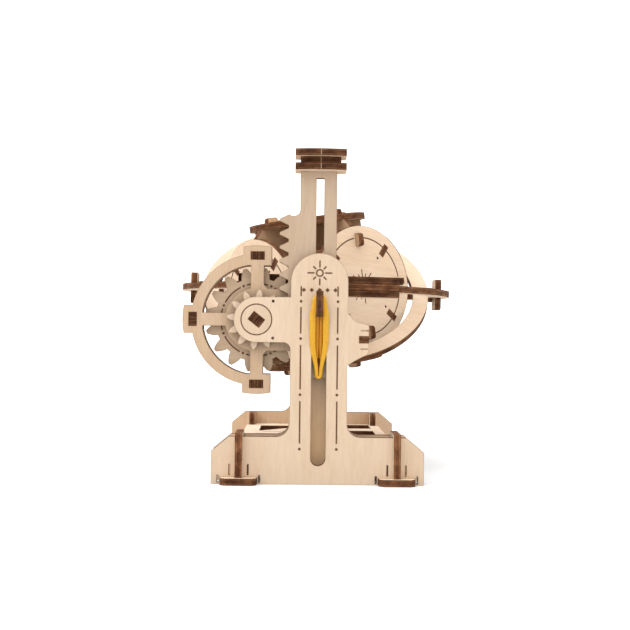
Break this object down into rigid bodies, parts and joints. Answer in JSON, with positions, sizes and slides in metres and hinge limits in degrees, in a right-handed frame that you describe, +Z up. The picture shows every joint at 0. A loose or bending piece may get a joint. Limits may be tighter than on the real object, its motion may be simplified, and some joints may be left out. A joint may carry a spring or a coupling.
{
  "type": "mechanical gimbal model",
  "caption": "Desktop plywood gimbal model: a pressed rack and gears spin nested rings around a free cube of discs.",
  "frame": {"origin": "middle of the overall box, on the plane that the four feet stand on", "axes": "+Z up, +Y from the press plunger's front plate to the rear plate, +X to the right seen from the front"},
  "size_m": [0.1424, 0.182, 0.1529],
  "materials": {
    "birch_face": "matte",
    "cut_edge": "matte",
    "band": "satin"
  },
  "bodies": {
    "frame": {"front_frame": "birch_face", "inner_frame": "birch_face", "rear_frame": "birch_face", "gear_guard": "birch_face", "guard_bars": "cut_edge", "tower_spacer": "birch_face", "side_spacer": "cut_edge", "side_beam_left": "cut_edge", "side_beam_right": "cut_edge", "base_lattice": "birch_face", "foot_front_left": "cut_edge", "foot_front_right": "cut_edge", "foot_rear_left": "cut_edge", "foot_rear_right": "cut_edge", "plunger_guide_left": "birch_face", "plunger_guide_right": "birch_face", "upper_band_hook": "cut_edge", "rubber_band": "band"},
    "plunger": {"plunger_rack": "birch_face", "knob_bottom_plate": "birch_face", "knob_middle_plate": "birch_face", "knob_top_plate": "birch_face", "lower_band_hook": "cut_edge"},
    "drive_train": {"drive_axle": "cut_edge", "front_journal": "birch_face", "rear_axle_journal": "birch_face", "rack_pinion": "birch_face", "drive_wheel": "birch_face"},
    "outer_gimbal": {"outer_ring": "birch_face", "front_hub_top": "birch_face", "front_hub_bottom": "birch_face", "rear_hub_top": "birch_face", "rear_hub_bottom": "birch_face", "ring_shaft_front": "cut_edge", "ring_shaft_rear": "cut_edge", "ring_pinion": "birch_face", "ring_journal_guard": "birch_face", "ring_journal_inner": "birch_face", "ring_journal_rear": "birch_face", "pivot_bracket_left": "cut_edge", "pivot_bracket_right": "cut_edge", "pivot_pins": "cut_edge"},
    "inner_gimbal": {"inner_ring": "birch_face", "pin_clip_left": "cut_edge", "pin_clip_right": "cut_edge", "die_bearing_blocks": "cut_edge"},
    "cube": {"die_disc_right": "birch_face", "die_disc_left": "birch_face", "die_disc_front": "birch_face", "die_disc_rear": "birch_face", "die_disc_top": "birch_face", "die_disc_bottom": "birch_face", "core_plate_x": "birch_face", "core_plate_y": "birch_face", "core_plate_z": "birch_face", "corner_fins": "cut_edge", "die_pins": "cut_edge"}
  },
  "joints": [
    {"name": "ring_turn", "type": "hinge", "parent": "frame", "child": "outer_gimbal", "pos_m": [0, 0.007, 0.0914], "axis": [0, 1, 0], "range_deg": [-334, 0]},
    {"name": "axle_turn", "type": "hinge", "parent": "frame", "child": "drive_train", "pos_m": [-0.02865, -0.07, 0.07479], "axis": [0, 1, 0], "range_deg": [0, 167.05]},
    {"name": "plunger_press", "type": "slide", "parent": "frame", "child": "plunger", "axis": [0, 0, 1], "range_m": [-0.035, 0], "stiffness_N_per_m": 40, "springref_m": 0.02, "deforming": ["rubber_band"]},
    {"name": "inner_ring_tilt", "type": "hinge", "parent": "outer_gimbal", "child": "inner_gimbal", "pos_m": [0, 0.007, 0.0914], "axis": [0.9998, 0, -0.0175], "continuous": true},
    {"name": "cube_spin", "type": "hinge", "parent": "inner_gimbal", "child": "cube", "pos_m": [0, 0.007, 0.0914], "axis": [0.0109, 0.7804, 0.6251], "continuous": true}
  ],
  "couplings": [
    {"joint": "axle_turn", "follows": "ring_turn", "ratio": -0.5},
    {"joint": "plunger_press", "follows": "ring_turn", "m_per_rad": 0.006}
  ]
}
